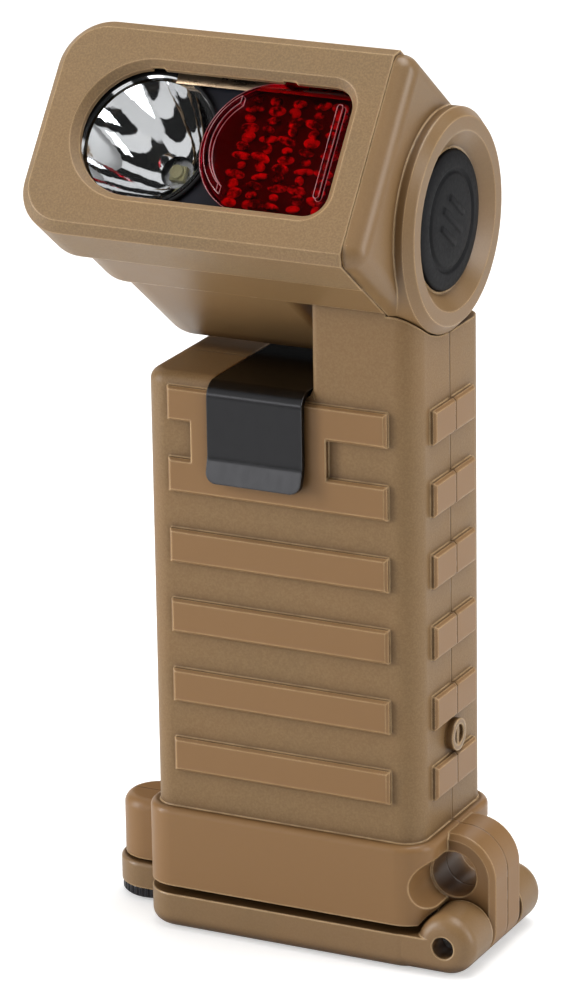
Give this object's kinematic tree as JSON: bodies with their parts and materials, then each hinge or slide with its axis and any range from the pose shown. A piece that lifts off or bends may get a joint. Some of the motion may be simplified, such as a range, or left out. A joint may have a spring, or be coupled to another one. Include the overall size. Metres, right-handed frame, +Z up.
{
  "type": "tactical flashlight",
  "caption": "Right-angle tactical flashlight: flat ribbed body, tilting head with sliding red filter, screwed battery door and spring clip.",
  "frame": {"origin": "under the middle of the body, on the underside of the battery door", "axes": "+Z up along the body, -Y out of the front with the grip pad, +X towards the hinge and the switch hub"},
  "size_m": [0.0568, 0.044, 0.1192],
  "materials": {
    "tan_plastic": "fine moulded texture",
    "black_steel": "satin black oxide",
    "brass": "satin",
    "cell_jacket": "gloss",
    "dark_plastic": "matt",
    "nickel": "bright",
    "circuit_board": "satin",
    "steel": "turned",
    "black_rubber": "matt",
    "mirror_coat": "mirror",
    "led": "gloss",
    "aluminium": "machined",
    "clear_lens": "polished",
    "red_lens": "polished"
  },
  "bodies": {
    "body": {"body_front_shell": "tan_plastic", "body_rear_shell": "tan_plastic", "shell_screws": "black_steel", "vent_plug": "tan_plastic", "threaded_insert": "brass", "spring_clip": "black_steel", "clip_screws": "black_steel", "cell_left": "cell_jacket", "cell_right": "cell_jacket", "contact_carrier": "dark_plastic", "positive_contact": "brass", "negative_spring": "nickel", "driver_board": "circuit_board", "hinge_pin": "steel", "pivot_spindle": "steel", "spindle_clip": "steel", "friction_washer": "dark_plastic", "pivot_seal": "black_rubber"},
    "head": {"head_bezel": "tan_plastic", "head_housing": "tan_plastic", "head_side_cap": "tan_plastic", "switch_board": "circuit_board", "reflector": "mirror_coat", "led_emitter": "led", "led_board": "circuit_board", "heat_sink": "aluminium", "filter_track": "dark_plastic", "window_lens": "clear_lens", "lens_gasket": "black_rubber", "filter_backing": "dark_plastic"},
    "filter": {"red_filter": "red_lens"},
    "button": {"switch_button": "black_rubber"},
    "door": {"battery_door": "tan_plastic", "door_gasket": "black_rubber", "contact_strap": "brass", "door_springs": "nickel"},
    "screw_ring": {"captive_ring": "steel"},
    "screw": {"thumb_screw": "black_steel"}
  },
  "joints": [
    {"name": "head_tilt", "type": "hinge", "parent": "body", "child": "head", "pos_m": [0, 0, 0.0967], "axis": [-1, 0, 0], "range_deg": [0, 142]},
    {"name": "filter_slide", "type": "slide", "parent": "head", "child": "filter", "axis": [-1, 0, 0], "range_m": [0, 0.0165]},
    {"name": "switch_press", "type": "slide", "parent": "head", "child": "button", "axis": [-1, 0, 0], "range_m": [0, 0.0006], "stiffness_N_per_m": 2000},
    {"name": "door_swing", "type": "hinge", "parent": "body", "child": "door", "pos_m": [0.0228, 0, 0.00404], "axis": [0, -1, 0], "range_deg": [0, 110]},
    {"name": "screw_travel", "type": "slide", "parent": "door", "child": "screw_ring", "axis": [0, 0, -1], "range_m": [0, 0.002]},
    {"name": "screw_turn", "type": "hinge", "parent": "screw_ring", "child": "screw", "pos_m": [-0.0237, 0, 0.003], "axis": [0, 0, -1], "range_deg": [0, 1080]}
  ],
  "couplings": [
    {"joint": "screw_travel", "follows": "screw_turn", "m_per_rad": 0.00010609}
  ]
}
